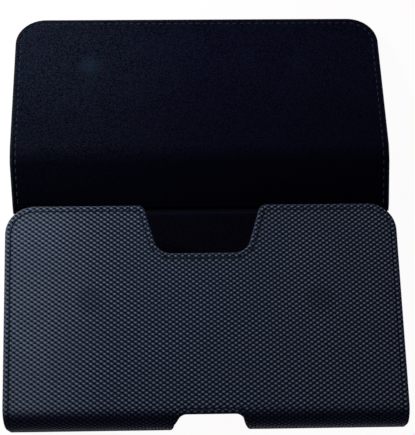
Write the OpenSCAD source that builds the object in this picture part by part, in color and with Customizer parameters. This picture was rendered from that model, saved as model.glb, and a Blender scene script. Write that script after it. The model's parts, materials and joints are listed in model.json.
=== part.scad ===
// Phone belt holster, lying on its back with the flap open.
// X runs across the case, Y from the bottom fold to the flap, and Z out of the front panel.
// The origin lies on the table, under the middle of the opened case.

/* [Pouch] */
// Width of the pouch, edge to edge
pouch_w = 160; // [146:1:190]
// Height of the front panel above the bottom fold
front_h = 90.5; // [85:0.5:110]
// Thickness of the pouch over its outer faces
pouch_t = 21.5; // [18:0.5:28]
// Outer radius of the bottom fold
fold_r = 8; // [5:0.5:8.5]
// Radius of the front panel's two top corners
front_corner_r = 11.5; // [5:0.5:15]
// How far the back panel stands above the front one
back_rise = 3.5; // [2:0.5:8]

/* [Layers of a panel] */
// Thickness of the textured cover
cover_t = 0.9; // [0.6:0.1:1.4]
// Thickness of the stiffener board
board_t = 1; // [0.6:0.1:1.6]
// Thickness of the velour lining
lining_t = 0.5; // [0.4:0.1:1]
// Width of the cover's turned edge, seen beside the lining
edge_w = 0.8; // [0.6:0.1:1.5]
// Distance from the turned edge to the board
board_margin = 1.2; // [0.8:0.1:3]

/* [Thumb cut-out] */
// Width of the cut-out at the front panel's top edge
cut_top_w = 48; // [36:1:60]
// Width of the cut-out at its floor
cut_bottom_w = 36; // [20:1:44]
// Depth of the cut-out
cut_depth = 20.4; // [14:0.2:30]
// Radius where the cut-out runs into the top edge
cut_lip_r = 3; // [1:0.5:5]
// Radius of the cut-out's two bottom corners
cut_floor_r = 6.5; // [2:0.5:8]

/* [Bottom notch] */
// Width of the notch on the bottom fold
notch_bottom_w = 31; // [24:1:36]
// Width of the notch's end on the front panel
notch_front_w = 22; // [16:1:26]
// Width of the notch's end on the back panel
notch_back_w = 26; // [16:1:30]
// How far the notch reaches up the front panel
notch_front_d = 4; // [4:0.1:8]
// How far the notch reaches up the back panel
notch_back_d = 9.5; // [6:0.5:12]
// Radius of the notch's inner corners
notch_r = 2; // [0.5:0.5:3]
// Shift of the notch to the right of the middle
notch_shift = 2.2; // [0:0.1:4]

/* [Top strip and flap] */
// Lean of the strip from the back panel when the flap is shut, in degrees
strip_lean = 80; // [70:1:85]
// Rise of the strip from the back panel as the case lies open, in degrees
strip_rise = 24.5; // [10:0.5:35]
// Length of the flap from its crease to its free edge
flap_len = 70.8; // [60:0.1:80]
// How far the flap stands out past the pouch on each side
flap_over = 0.5; // [0:0.5:2]
// Radius of the flap's two free corners
flap_corner_r = 13; // [5:0.5:18]
// Half of the slit that parts two leaves at a crease
crease_gap = 0.15; // [0.1:0.05:0.3]
// Room between the shut flap and the front panel
shut_gap = 0.3; // [0.2:0.1:1]

/* [Magnets] */
// Diameter of a magnet
magnet_d = 10; // [6:0.5:14]
// Distance of a magnet's middle from the pouch's side
magnet_side = 34; // [24:1:44]
// Distance of the flap's magnets from the flap's crease
magnet_down = 47; // [30:1:55]

/* [Side gussets] */
// Thickness of a gusset
gusset_t = 0.8; // [0.5:0.1:1.2]
// Width of the flange that is sewn to a panel
flange_w = 5; // [3:0.5:8]
// Depth of the gusset's fold into the pouch
tuck = 4; // [2:0.5:6]

/* [Belt loops] */
// Widest belt that the loops and the clip take
belt_w = 42; // [30:1:44]
// Depth of the belt passage under a loop
belt_gap = 5.2; // [4.6:0.1:8]
// Distance from the back panel's crease down to the clip's patch
belt_top = 3.25; // [2:0.25:8]
// Thickness of a loop's strap
loop_t = 1.8; // [1.2:0.1:2.5]
// Width of a loop's strap
loop_w = 28; // [20:1:32]
// Distance of a loop from the pouch's side
loop_side = 14; // [8:1:22]
// Length of the sewn tab at each end of a loop
tab_len = 9; // [6:0.5:10]

/* [Belt clip] */
// Thickness of the spring-steel clip
clip_t = 1.2; // [0.8:0.1:1.4]
// Width of the clip
clip_w = 30; // [20:1:36]
// Length of the clip's riveted plate
clip_plate = 12; // [10:0.5:12]
// Gap between the clip's pinch and the patch
clip_pinch = 1.2; // [0.5:0.1:2]
// Length of the flared lip below the pinch
clip_lip = 6; // [4:0.5:8]
// Thickness of the patch under the clip
patch_t = 1; // [0.6:0.1:1.2]
// Width of the patch
patch_w = 48; // [40:1:56]
// Diameter of a rivet's shank
rivet_d = 3.2; // [2.5:0.1:4]
// Diameter of a rivet's outer head
rivet_head_d = 6.4; // [5:0.2:8]
// Height of a rivet's outer head
rivet_head_h = 1; // [0.6:0.1:1.6]
// Distance between the two rivets
rivet_pitch = 18; // [12:1:22]

/* [Hidden] */
$fn = 64;

// Layers, measured from the cover's outer face
glue = 0.05;
board_from = cover_t + glue;
board_to = board_from + board_t;
lining_from = board_to + glue;
panel_t = lining_from + lining_t;
board_inset = edge_w + board_margin;
fold_room = 2;

// Cutters run this far past what they cut
past = 5;

// Pouch
back_h = front_h + back_rise;
board_start = max(fold_r, notch_back_d) + fold_room;
stand_off = belt_gap + loop_t;

// Creases: each leaf is mitred so that the strip and the flap can shut
strip_w = pouch_w + 2 * flap_over;
strip_len = (pouch_t + panel_t + shut_gap) / sin(strip_lean);
back_mitre = panel_t * tan(strip_lean / 2);
flap_mitre = panel_t * tan((180 - strip_lean) / 2);
crease_y = back_h + strip_len * cos(strip_rise);
crease_z = stand_off + strip_len * sin(strip_rise);
rest_gap = 0.3;
flap_drop = asin((crease_z - rest_gap) / flap_len);
case_len = crease_y + flap_len * cos(flap_drop) + panel_t * sin(flap_drop);

// Magnets of the front meet those of the flap when it is shut
shut_crease_y = back_h + strip_len * cos(strip_lean);
magnet_x = pouch_w / 2 - magnet_side;
front_magnet_y = shut_crease_y - magnet_down;
magnet_play = 0.1;

// Gussets
gusset_inset = 0.5;
gusset_x = pouch_w / 2 - gusset_inset;
gusset_back_h = back_h - back_mitre - gusset_inset;
gusset_front_h = front_h - front_corner_r;
gusset_bend_r = 0.8;

// Belt side: the clip hangs from its riveted plate, and the loops lie beside it
belt_play = 1;
belt_half = belt_w / 2 + belt_play;
bend_run = 3;
patch_above = 1;
patch_below = 3;
patch_high = back_h - belt_top;
plate_end = patch_high - patch_above;
belt_y = plate_end - clip_plate - bend_run - belt_half;
pinch_y = belt_y - belt_half - bend_run;
patch_low = pinch_y - clip_lip - patch_below;
patch_corner_r = 4;
loop_x = pouch_w / 2 - loop_side - loop_w / 2;
strap_bend_r = 2;
clip_bend_r = 2.4;
clip_corner_r = 3;
plate_z = stand_off - patch_t - clip_t / 2;
pinch_z = plate_z - clip_pinch;
lip_lift = 0.4;
lip_z = clip_t / 2 + lip_lift;
rivet_y = plate_end - clip_plate / 2;
rivet_play = 0.1;
rivet_foot_d = 6;
rivet_foot_h = 0.6;

// Outlines

function xy(p) = [p.x, p.y];

function unit(v) = v / norm(v);

// Points of one rounded corner b, between the corners a and c
function corner_arc(a, b, c, r, n) =
    let (
        u = unit(a - b),
        v = unit(c - b),
        half = acos(u * v) / 2,
        start = b + u * r / tan(half),
        end = b + v * r / tan(half),
        middle = b + unit(u + v) * r / sin(half),
        from = atan2(start.y - middle.y, start.x - middle.x),
        to = atan2(end.y - middle.y, end.x - middle.x),
        sweep = (to - from + 540) % 360 - 180
    )
    [for (i = [0:n]) middle + r * [cos(from + sweep * i / n), sin(from + sweep * i / n)]];

// A closed outline through corners that are each [x, y, radius]
function rounded(corners, n = 10) =
    let (last = len(corners) - 1)
    [for (i = [0:last])
        let (
            a = xy(corners[i == 0 ? last : i - 1]),
            b = xy(corners[i]),
            c = xy(corners[i == last ? 0 : i + 1])
        )
        each corners[i].z > 0 ? corner_arc(a, b, c, corners[i].z, n) : [b]];

// An open path through such corners
function bent(corners, n = 6) =
    let (last = len(corners) - 1)
    [for (i = [0:last])
        each i > 0 && i < last
            ? corner_arc(xy(corners[i - 1]), xy(corners[i]), xy(corners[i + 1]), corners[i].z, n)
            : [xy(corners[i])]];

function side(path, i) =
    let (along = unit(path[min(i + 1, len(path) - 1)] - path[max(i - 1, 0)]))
    [-along.y, along.x];

// A strip of material of thickness t with the path as its middle line
module ribbon(path, t) {
    last = len(path) - 1;
    polygon(concat(
        [for (i = [0:last]) path[i] + side(path, i) * t / 2],
        [for (i = [last:-1:0]) path[i] - side(path, i) * t / 2]
    ));
}

// Placing

module on_table() translate([0, -case_len / 2, 0]) children();

module on_pouch() on_table() translate([0, 0, stand_off]) children();

module on_strip() on_pouch() translate([0, back_h, 0]) rotate([strip_rise, 0, 0]) children();

module on_flap() on_table() translate([0, crease_y, crease_z]) rotate([-flap_drop, 0, 0]) children();

// A profile drawn in Y and Z, drawn out across the case
module across(w) rotate([90, 0, 90]) linear_extrude(w, center = true) children();

// Pouch

// The pouch's filled section, inset from its outer face
module pouch_section(inset) {
    translate([fold_r, inset]) square([back_h, pouch_t - 2 * inset]);
    translate([inset, fold_r]) square([back_h, pouch_t - 2 * fold_r]);
    for (z = [fold_r, pouch_t - fold_r]) translate([fold_r, z]) circle(fold_r - inset);
}

module front_plan(inset) {
    offset(delta = -inset) polygon(rounded([
        [-pouch_w / 2, -past, 0],
        [pouch_w / 2, -past, 0],
        [pouch_w / 2, front_h, front_corner_r],
        [cut_top_w / 2, front_h, cut_lip_r],
        [cut_bottom_w / 2, front_h - cut_depth, cut_floor_r],
        [-cut_bottom_w / 2, front_h - cut_depth, cut_floor_r],
        [-cut_top_w / 2, front_h, cut_lip_r],
        [-pouch_w / 2, front_h, front_corner_r]
    ]));
}

module back_plan(inset) {
    translate([inset - pouch_w / 2, -past]) square([pouch_w - 2 * inset, back_h + 2 * past]);
}

module notch_plan(end_w, depth, grow) {
    offset(delta = grow) polygon(rounded([
        [-notch_bottom_w / 2, -past, 0],
        [notch_bottom_w / 2, -past, 0],
        [notch_bottom_w / 2, 0, 0],
        [end_w / 2, depth, notch_r],
        [-end_w / 2, depth, notch_r],
        [-notch_bottom_w / 2, 0, 0]
    ], 5));
}

module notch_front(grow) notch_plan(notch_front_w, notch_front_d, grow);

module notch_back(grow) notch_plan(notch_back_w, notch_back_d, grow);

// The notch follows the sheet from the front panel, round the fold, to the back panel
module notch(grow) translate([notch_shift, 0, 0]) {
    slice = 0.1;
    translate([0, 0, -past]) linear_extrude(past + fold_r) notch_back(grow);
    hull() {
        translate([0, 0, fold_r - slice]) linear_extrude(slice) notch_back(grow);
        translate([0, 0, pouch_t - fold_r]) linear_extrude(slice) notch_front(grow);
    }
    translate([0, 0, pouch_t - fold_r]) linear_extrude(past + fold_r) notch_front(grow);
}

// One layer of the sheet that wraps the pouch, inset at its free edges
module pouch_layer(from, to, inset) difference() {
    intersection() {
        across(pouch_w) difference() {
            pouch_section(from);
            pouch_section(to);
        }
        union() {
            translate([0, 0, pouch_t / 2]) linear_extrude(pouch_t) front_plan(inset);
            translate([0, 0, -past]) linear_extrude(pouch_t / 2 + past) back_plan(inset);
        }
    }
    notch(inset);
}

// What lies past the mitre at the back panel's crease
module back_crease() across(pouch_w + past) polygon([
    [back_h - crease_gap, -past],
    [back_h - crease_gap, 0],
    [back_h - crease_gap - back_mitre, panel_t],
    [back_h - crease_gap - back_mitre, panel_t + past],
    [back_h + 3 * past, panel_t + past],
    [back_h + 3 * past, -past]
]);

module at_rivets() for (x = [-rivet_pitch / 2, rivet_pitch / 2]) translate([x, rivet_y, 0]) children();

module rivet_holes(d) at_rivets() translate([0, 0, -past]) cylinder(d = d, h = 2 * past);

// Front board, grown by play on every side
module front_board_shape(play) {
    translate([0, 0, pouch_t - board_to - play]) linear_extrude(board_t + 2 * play) intersection() {
        front_plan(board_inset - play);
        translate([-pouch_w / 2, board_start - play]) square([pouch_w, front_h]);
    }
}

// Back board, grown by play on every side
module back_board_shape(play) {
    low = board_start - play;
    high = back_h - crease_gap - back_mitre - board_margin + play;
    half = pouch_w / 2 - board_inset + play;
    translate([-half, low, board_from - play]) cube([2 * half, high - low, board_t + 2 * play]);
}

module magnets_at(x, y, d, h) translate([x, y, 0]) cylinder(d = d, h = h);

module pouch_cover() color("#2c3340") on_pouch() difference() {
    pouch_layer(0, panel_t, 0);
    pouch_layer(cover_t, panel_t + past, edge_w);
    back_crease();
    rivet_holes(rivet_d + 2 * rivet_play);
}

module front_board() color("#77736a") on_pouch() difference() {
    front_board_shape(0);
    for (x = [-magnet_x, magnet_x])
        translate([0, 0, pouch_t - board_to - past])
            magnets_at(x, front_magnet_y, magnet_d + 2 * magnet_play, board_t + 2 * past);
}

module back_board() color("#6e6a62") on_pouch() difference() {
    back_board_shape(0);
    rivet_holes(rivet_d + 2 * rivet_play);
    at_rivets() translate([0, 0, board_to - rivet_foot_h])
        cylinder(d = rivet_foot_d + 2 * rivet_play, h = past);
}

module pouch_lining() color("#0c0f1a") on_pouch() difference() {
    pouch_layer(board_from, panel_t, edge_w + glue);
    front_board_shape(glue);
    back_board_shape(glue);
    back_crease();
}

module front_magnet(x) color("#b9bcc2") on_pouch()
    translate([0, 0, pouch_t - board_to]) magnets_at(x, front_magnet_y, magnet_d, board_t);

// A gusset is one strip, sewn to both panels and tucked in between them
module gusset(hand) color("#20252f") on_pouch() intersection() {
    low = panel_t + gusset_t / 2;
    high = pouch_t - low;
    rotate([90, 0, 0]) mirror([0, 0, 1]) linear_extrude(back_h) scale([hand, 1]) ribbon(bent([
        [gusset_x - flange_w, high],
        [gusset_x, high, gusset_bend_r],
        [gusset_x - tuck, pouch_t / 2, gusset_bend_r],
        [gusset_x, low, gusset_bend_r],
        [gusset_x - flange_w, low]
    ]), gusset_t);
    across(pouch_w) intersection() {
        pouch_section(panel_t + glue / 2);
        polygon([
            [0, 0], [gusset_back_h, 0], [gusset_back_h, panel_t],
            [gusset_front_h, pouch_t - panel_t], [gusset_front_h, pouch_t], [0, pouch_t]
        ]);
    }
}

// Belt side

// A loop is one strap with a sewn tab at each end
module belt_loop(x) color("#232833") on_table() translate([x, 0, 0]) across(loop_w) {
    sewn = stand_off - loop_t / 2;
    free = loop_t / 2;
    foot = belt_half + bend_run;
    ribbon(bent([
        [belt_y - foot - tab_len, sewn],
        [belt_y - foot, sewn, strap_bend_r],
        [belt_y - belt_half, free, strap_bend_r],
        [belt_y + belt_half, free, strap_bend_r],
        [belt_y + foot, sewn, strap_bend_r],
        [belt_y + foot + tab_len, sewn]
    ]), loop_t);
}

module clip_patch() color("#1b1f28") on_table() difference() {
    translate([0, 0, stand_off - patch_t]) linear_extrude(patch_t) polygon(rounded([
        [-patch_w / 2, patch_low, patch_corner_r],
        [patch_w / 2, patch_low, patch_corner_r],
        [patch_w / 2, patch_high, patch_corner_r],
        [-patch_w / 2, patch_high, patch_corner_r]
    ], 6));
    translate([0, 0, stand_off]) rivet_holes(rivet_d + 2 * rivet_play);
}

// The clip is one bent strip: riveted plate, arm, pinch and flared lip
module belt_clip() color("#15171a") on_table() difference() {
    intersection() {
        across(clip_w) ribbon(bent([
            [plate_end, plate_z],
            [belt_y + belt_half + bend_run, plate_z, clip_bend_r],
            [belt_y + belt_half, clip_t / 2, clip_bend_r],
            [belt_y - belt_half + clip_lip, clip_t / 2, clip_bend_r],
            [pinch_y, pinch_z, clip_bend_r],
            [pinch_y - clip_lip, lip_z]
        ]), clip_t);
        linear_extrude(stand_off) polygon(rounded([
            [-clip_w / 2, pinch_y - clip_lip - clip_t, clip_corner_r],
            [clip_w / 2, pinch_y - clip_lip - clip_t, clip_corner_r],
            [clip_w / 2, plate_end, clip_corner_r],
            [-clip_w / 2, plate_end, clip_corner_r]
        ], 6));
    }
    translate([0, 0, stand_off]) rivet_holes(rivet_d + 2 * rivet_play);
}

// Each rivet runs from its head on the clip to its foot, sunk in the back board
module clip_rivets() color("#8d9096") on_pouch() at_rivets() {
    clamp_low = -patch_t - clip_t;
    translate([0, 0, clamp_low]) cylinder(d = rivet_d, h = board_to - clamp_low);
    translate([0, 0, clamp_low - rivet_head_h])
        cylinder(d1 = rivet_head_d - rivet_head_h, d2 = rivet_head_d, h = rivet_head_h);
    translate([0, 0, board_to - rivet_foot_h]) cylinder(d = rivet_foot_d, h = rivet_foot_h);
}

// Leaves: the strip and the flap, each lying in its own frame with its crease at the origin

module strip_plan(inset) {
    translate([inset - strip_w / 2, -past]) square([strip_w - 2 * inset, strip_len + 2 * past]);
}

module flap_plan(inset) {
    half = strip_w / 2 - inset;
    end = flap_len - inset;
    r = flap_corner_r - inset;
    polygon(rounded([[-half, -past, 0], [half, -past, 0], [half, end, r], [-half, end, r]]));
}

module strip_section() across(strip_w + past) polygon([
    [crease_gap, 0],
    [strip_len - crease_gap, 0],
    [strip_len - crease_gap - flap_mitre, panel_t],
    [crease_gap + back_mitre, panel_t]
]);

module flap_section() across(strip_w + past) polygon([
    [crease_gap, 0],
    [flap_len + past, 0],
    [flap_len + past, panel_t],
    [crease_gap + flap_mitre, panel_t]
]);

// Board between two distances from the crease, grown by play; its outline is the children
module leaf_board(from, to, play) {
    translate([0, 0, board_from - play]) linear_extrude(board_t + 2 * play) intersection() {
        children();
        translate([-strip_w, from - play]) square([2 * strip_w, to - from + 2 * play]);
    }
}

module strip_board_shape(play) {
    leaf_board(
        crease_gap + back_mitre + board_margin,
        strip_len - crease_gap - flap_mitre - board_margin,
        play
    ) strip_plan(board_inset - play);
}

module flap_board_shape(play) {
    leaf_board(crease_gap + flap_mitre + board_margin, flap_len, play) flap_plan(board_inset - play);
}

module strip_cover() color("#2a303c") on_strip() intersection() {
    difference() {
        linear_extrude(panel_t) strip_plan(0);
        translate([0, 0, cover_t]) linear_extrude(panel_t) strip_plan(edge_w);
    }
    strip_section();
}

module strip_board() color("#77736a") on_strip() strip_board_shape(0);

module strip_lining() color("#0a0d16") on_strip() intersection() {
    difference() {
        translate([0, 0, board_from]) linear_extrude(panel_t - board_from) strip_plan(edge_w + glue);
        strip_board_shape(glue);
    }
    strip_section();
}

module flap_cover() color("#2c3340") on_flap() intersection() {
    difference() {
        linear_extrude(panel_t) flap_plan(0);
        translate([0, 0, cover_t]) linear_extrude(panel_t) flap_plan(edge_w);
    }
    flap_section();
}

module flap_board() color("#77736a") on_flap() difference() {
    flap_board_shape(0);
    for (x = [-magnet_x, magnet_x])
        magnets_at(x, magnet_down, magnet_d + 2 * magnet_play, panel_t);
}

module flap_lining() color("#0e1120") on_flap() intersection() {
    difference() {
        translate([0, 0, board_from]) linear_extrude(panel_t - board_from) flap_plan(edge_w + glue);
        flap_board_shape(glue);
    }
    flap_section();
}

module flap_magnet(x) color("#b9bcc2") on_flap()
    translate([0, 0, board_from]) magnets_at(x, magnet_down, magnet_d, board_t);

pouch_cover();
front_board();
back_board();
pouch_lining();
gusset(-1);  // gusset_left
gusset(1);  // gusset_right
front_magnet(-magnet_x);  // front_magnet_left
front_magnet(magnet_x);  // front_magnet_right
belt_loop(-loop_x);  // belt_loop_left
belt_loop(loop_x);  // belt_loop_right
clip_patch();
belt_clip();
clip_rivets();
strip_cover();
strip_board();
strip_lining();
flap_cover();
flap_board();
flap_lining();
flap_magnet(-magnet_x);  // flap_magnet_left
flap_magnet(magnet_x);  // flap_magnet_right
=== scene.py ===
# %% [markdown]
# # Phone belt holster
# A landscape phone pouch for a belt lies on its back, with its flap open. The case is made of one long
# piece of embossed leather cloth over stiff boards. The inside is lined with velour, and the edges are
# turned and stitched. The maker cuts every layer flat and folds it afterwards, and this lesson does the
# same: each piece is shaped as a flat blank in millimetres, and is then folded into its place on the frame.

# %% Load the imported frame
import json
import math

import bmesh
import bpy
import numpy as np
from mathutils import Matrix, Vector

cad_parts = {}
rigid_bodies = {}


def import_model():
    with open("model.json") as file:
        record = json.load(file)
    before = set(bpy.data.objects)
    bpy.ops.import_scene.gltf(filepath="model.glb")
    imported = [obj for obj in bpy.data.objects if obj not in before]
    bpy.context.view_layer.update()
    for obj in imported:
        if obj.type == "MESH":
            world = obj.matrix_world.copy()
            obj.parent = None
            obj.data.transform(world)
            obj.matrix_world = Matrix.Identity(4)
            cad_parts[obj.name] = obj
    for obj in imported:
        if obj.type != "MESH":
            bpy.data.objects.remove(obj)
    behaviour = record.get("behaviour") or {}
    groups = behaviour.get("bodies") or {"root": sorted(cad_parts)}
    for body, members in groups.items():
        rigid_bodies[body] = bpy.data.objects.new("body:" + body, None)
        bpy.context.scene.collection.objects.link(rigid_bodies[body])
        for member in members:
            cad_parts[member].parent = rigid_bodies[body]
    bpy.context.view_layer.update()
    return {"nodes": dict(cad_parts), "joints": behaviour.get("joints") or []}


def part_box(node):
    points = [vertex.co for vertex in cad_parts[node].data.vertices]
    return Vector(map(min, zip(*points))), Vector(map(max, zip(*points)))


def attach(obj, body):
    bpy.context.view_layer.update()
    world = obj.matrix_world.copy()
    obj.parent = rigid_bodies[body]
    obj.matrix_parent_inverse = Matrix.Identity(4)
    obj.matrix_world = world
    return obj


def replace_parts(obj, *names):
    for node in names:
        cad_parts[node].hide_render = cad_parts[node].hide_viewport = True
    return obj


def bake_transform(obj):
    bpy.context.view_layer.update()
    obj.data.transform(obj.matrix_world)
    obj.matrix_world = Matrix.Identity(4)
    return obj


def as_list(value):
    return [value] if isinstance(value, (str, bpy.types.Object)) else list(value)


for leftover in list(bpy.data.objects):
    bpy.data.objects.remove(leftover)
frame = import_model()

# %% [markdown]
# ## Sizes
# The frame says where the two creases are, how wide the pouch is and how thick. The other sizes are those
# of the part's source, because a seam, a cut-out or a hem can't be read from a box.

# %% Sizes, in millimetres
MM = 0.001
PANEL = 2.5
COVER = 0.9
LINING = 0.5
EDGE = 0.8
FRONT_H = 90.5
FOLD_R = 8.0
FRONT_CORNER_R = 11.5
FLAP_LEN = 70.8
FLAP_CORNER_R = 13.0
CUT_TOP, CUT_FLOOR, CUT_DEPTH = 48.0, 36.0, 20.4
CUT_LIP_R, CUT_FLOOR_R = 3.0, 6.5
NOTCH_W, NOTCH_FRONT_W, NOTCH_BACK_W = 31.0, 22.0, 26.0
NOTCH_FRONT_D, NOTCH_BACK_D = 4.0, 9.5
NOTCH_R, NOTCH_SHIFT = 2.0, 2.2
# The leather gives at the notch's front corners, which end up a little wider and rounder than in the solid
NOTCH_GIVE, NOTCH_SOFT_R = 1.8, 3.2


def box_of(node):
    """The low and the high corner of a node's box, in millimetres."""
    return [np.array(corner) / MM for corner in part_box(node)]


joints = {joint["name"]: np.array(joint["pos_m"]) / MM for joint in frame["joints"]}
back_axis, flap_axis = joints["back_crease"], joints["flap_crease"]
pouch_low, pouch_high = box_of("pouch_cover")
flap_low, flap_high = box_of("flap_cover")
fold_y, back_z, front_z = pouch_low[1], pouch_low[2], pouch_high[2]
pouch_half, flap_half = pouch_high[0], flap_high[0]
strip_len = float(np.hypot(*(flap_axis - back_axis)[1:]))
strip_rise = math.atan2(flap_axis[2] - back_axis[2], flap_axis[1] - back_axis[1])
flap_drop = math.asin((flap_axis[2] - flap_low[2]) / FLAP_LEN)
print(f"strip {strip_len:.2f} mm, rising {math.degrees(strip_rise):.1f} degrees")
print(f"flap falling {math.degrees(flap_drop):.1f} degrees")

# %% [markdown]
# ## Hand tools
# Every blank is worked with the same few moves: a block of the right size, a selection by place, a corner
# rounded, a shape cut out, and slices that let it bend. Blender's tools act on what is selected, so each
# move begins by selecting only what it needs.

# %% Blocks and selections
def only(obj):
    bpy.ops.object.select_all(action="DESELECT")
    obj.select_set(True)
    bpy.context.view_layer.objects.active = obj


def block(name, low, high):
    """A cube primitive at its size and place, between two corners."""
    bpy.ops.object.select_all(action="DESELECT")
    low, high = Vector(low), Vector(high)
    bpy.ops.mesh.primitive_cube_add(size=1, location=(low + high) / 2)
    obj = bpy.context.object
    obj.name = name
    obj.scale = high - low
    bpy.ops.object.transform_apply()
    return obj


def open_up(obj):
    """Goes into edit mode with the whole piece selected."""
    only(obj)
    bpy.ops.object.mode_set(mode="EDIT")
    bpy.ops.mesh.select_all(action="SELECT")


def pick(obj, kind, test):
    """Goes into edit mode and selects the corners, edges or faces that pass the test."""
    open_up(obj)
    bpy.ops.mesh.select_mode(type=kind)
    bpy.ops.mesh.select_all(action="DESELECT")
    mesh = bmesh.from_edit_mesh(obj.data)
    for part in {"VERT": mesh.verts, "EDGE": mesh.edges, "FACE": mesh.faces}[kind]:
        if test(part):
            part.select_set(True)
    mesh.select_flush_mode()
    bmesh.update_edit_mesh(obj.data)


def done():
    bpy.ops.object.mode_set(mode="OBJECT")


def copy_of(obj, name):
    twin = obj.copy()
    twin.data = obj.data.copy()
    twin.name = name
    bpy.context.collection.objects.link(twin)
    return twin


# %% Corners, cuts and slices
NEAR = 0.02


def bevel(obj, test, width, steps):
    """Rounds the edges that pass the test."""
    pick(obj, "EDGE", test)
    bpy.ops.mesh.bevel(offset=width, segments=steps, affect="EDGES")
    done()


def round_corners(obj, places, radius, corner_angle=90.0, steps=8):
    """Rounds the upright edges at these places. The angle is the one inside the material's corner."""
    def stands_there(edge):
        a, b = (v.co for v in edge.verts)
        upright = abs(a.x - b.x) < NEAR and abs(a.y - b.y) < NEAR
        return upright and any(abs(a.x - x) < NEAR and abs(a.y - y) < NEAR for x, y in places)

    bevel(obj, stands_there, radius / math.tan(math.radians(corner_angle / 2)), steps)


def cut(obj, cutter):
    tool = obj.modifiers.new("cut", "BOOLEAN")
    tool.operation = "DIFFERENCE"
    tool.object = cutter
    only(obj)
    bpy.ops.object.modifier_apply(modifier=tool.name)
    bpy.data.objects.remove(cutter)


def widen(obj, y, share):
    """Scales the corners at one y across the piece, round the piece's own middle line."""
    pick(obj, "VERT", lambda v: abs(v.co.y - y) < NEAR)
    middle = sum(v.co.x for v in obj.data.vertices) / len(obj.data.vertices)
    bpy.ops.transform.resize(value=(share, 1, 1), center_override=(middle, y, 0))
    done()


def slice_across(obj, places, way=(0, 1, 0)):
    """Cuts edges across the piece at these distances along the way, so that it can bend there."""
    open_up(obj)
    for place in places:
        bpy.ops.mesh.select_all(action="SELECT")
        bpy.ops.mesh.bisect(plane_co=Vector(way) * place, plane_no=way)
    done()


def trim(obj, y, direction):
    """Cuts the piece square at one y and throws away what lies past it, leaving it closed."""
    open_up(obj)
    bpy.ops.mesh.bisect(plane_co=(0, y, 0), plane_no=(0, direction, 0), use_fill=True, clear_outer=True)
    done()


# %% [markdown]
# ## Folding
# The leather is measured along its outer face. On a blank, Y runs along that face and Z is minus the depth
# below it. The pouch's fold is two quarter rounds with a short flat between them. A crease turns round a
# line on the outer face, and the layers come together there, because the boards stop short of it. At the
# back crease the pouch's lining swells to a ridge, where the slack of the shut flap gathers as it opens.
# A used case is never quite true, so in a few places along its soft sides the folded leather gives a little
# to the left or the right.

# %% The pouch's fold
CREASE_REACH = 3.4
CREASE_THIN = 0.6
RIDGE, RIDGE_IN, RIDGE_W = 0.5, 1.2, 0.7
UNDER_FROM, UNDER_TO = 0.2, 1.4
EXTRA = 12.0
SOFT_SIDE = 14
# Places where the photographed case is out of true: the side, Y, the reach along the side, how much of it
# counts on the front and on the back panel, and the shift to the right
OUT_OF_TRUE = [
    (-1, fold_y, 11.5, 0, 1, 2.4), (1, fold_y, 45, 1, 1, 1.1),
    (-1, fold_y + 75, 45, 1, 0, -0.6), (-1, back_axis[1], 22, 0, 1, 1.0),
]

case_t = front_z - back_z
fold_flat = case_t - 2 * FOLD_R
quarter = FOLD_R * math.pi / 2
back_start = -(2 * quarter + fold_flat)
front_top = FRONT_H - FOLD_R
back_crease = back_start - (back_axis[1] - fold_y - FOLD_R)
print(f"blank: front edge at {front_top:.1f}, back panel from {back_start:.1f} to {back_crease:.1f}")


def swing(points, pivot, angle):
    """Turns points by an angle each, round a line that runs across the case."""
    y, z = points[:, 1] - pivot[0], points[:, 2] - pivot[1]
    return np.column_stack([
        points[:, 0],
        pivot[0] + y * np.cos(angle) - z * np.sin(angle),
        pivot[1] + y * np.sin(angle) + z * np.cos(angle),
    ])


def ease(value, start, end):
    share = np.clip((value - start) / (end - start), 0, 1)
    return share * share * (3 - 2 * share)


def pinch(points, crease, beyond=False):
    """Brings the layers together at a crease, and keeps them so past it if beyond is true."""
    away = ease(np.abs(points[:, 1] - crease), 0, CREASE_REACH)
    if beyond:
        away = np.where(points[:, 1] < crease, 0, away)
    depth = points[:, 2] * (CREASE_THIN + (1 - CREASE_THIN) * away)
    return np.column_stack([points[:, 0], points[:, 1], depth])


def lead_under(points):
    """Swells the lining to a soft ridge at the back crease, and leads it down under the strip's lining."""
    past = back_crease - points[:, 1]
    thin = 1 - (1 - CREASE_THIN) * ease(past, UNDER_FROM, UNDER_TO)
    ridge = RIDGE * np.exp(-((past + RIDGE_IN) / RIDGE_W) ** 2)
    return np.column_stack([points[:, 0], points[:, 1], points[:, 2] * thin - ridge])


def give(placed):
    """Lets the soft sides of the case be as little out of true as those of the photographed one."""
    shift = np.zeros(len(placed))
    down = np.clip((front_z - placed[:, 2]) / case_t, 0, 1)
    for hand, y, reach, at_front, at_back, amount in OUT_OF_TRUE:
        side = ease(hand * placed[:, 0], pouch_half - SOFT_SIDE, pouch_half)
        near = ease(np.abs(placed[:, 1] - y), reach, 1)
        shift += amount * side * near * (at_front + (at_back - at_front) * down)
    return placed + np.column_stack([shift, shift * 0, shift * 0])


def fold_pouch(points, before, after, is_lining=False):
    """Wraps a blank round the bottom fold, and turns its far end up the strip at the back crease."""
    points = lead_under(points) if is_lining else pinch(points, back_crease, beyond=True)
    s, depth = points[:, 1], -points[:, 2]
    turn = (np.clip(-s, 0, quarter) + np.clip(-s - quarter - fold_flat, 0, quarter)) / FOLD_R
    down = np.clip(-s - quarter, 0, fold_flat)
    straight = np.clip(s, 0, None) + np.clip(back_start - s, 0, None)
    placed = np.column_stack([
        points[:, 0],
        fold_y + FOLD_R - (FOLD_R - depth) * np.sin(turn) + straight,
        back_z + case_t - FOLD_R - down + (FOLD_R - depth) * np.cos(turn),
    ])
    share = ease(-s, -back_crease - before, -back_crease + after)
    return give(swing(placed, back_axis[1:], share * strip_rise))


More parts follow.
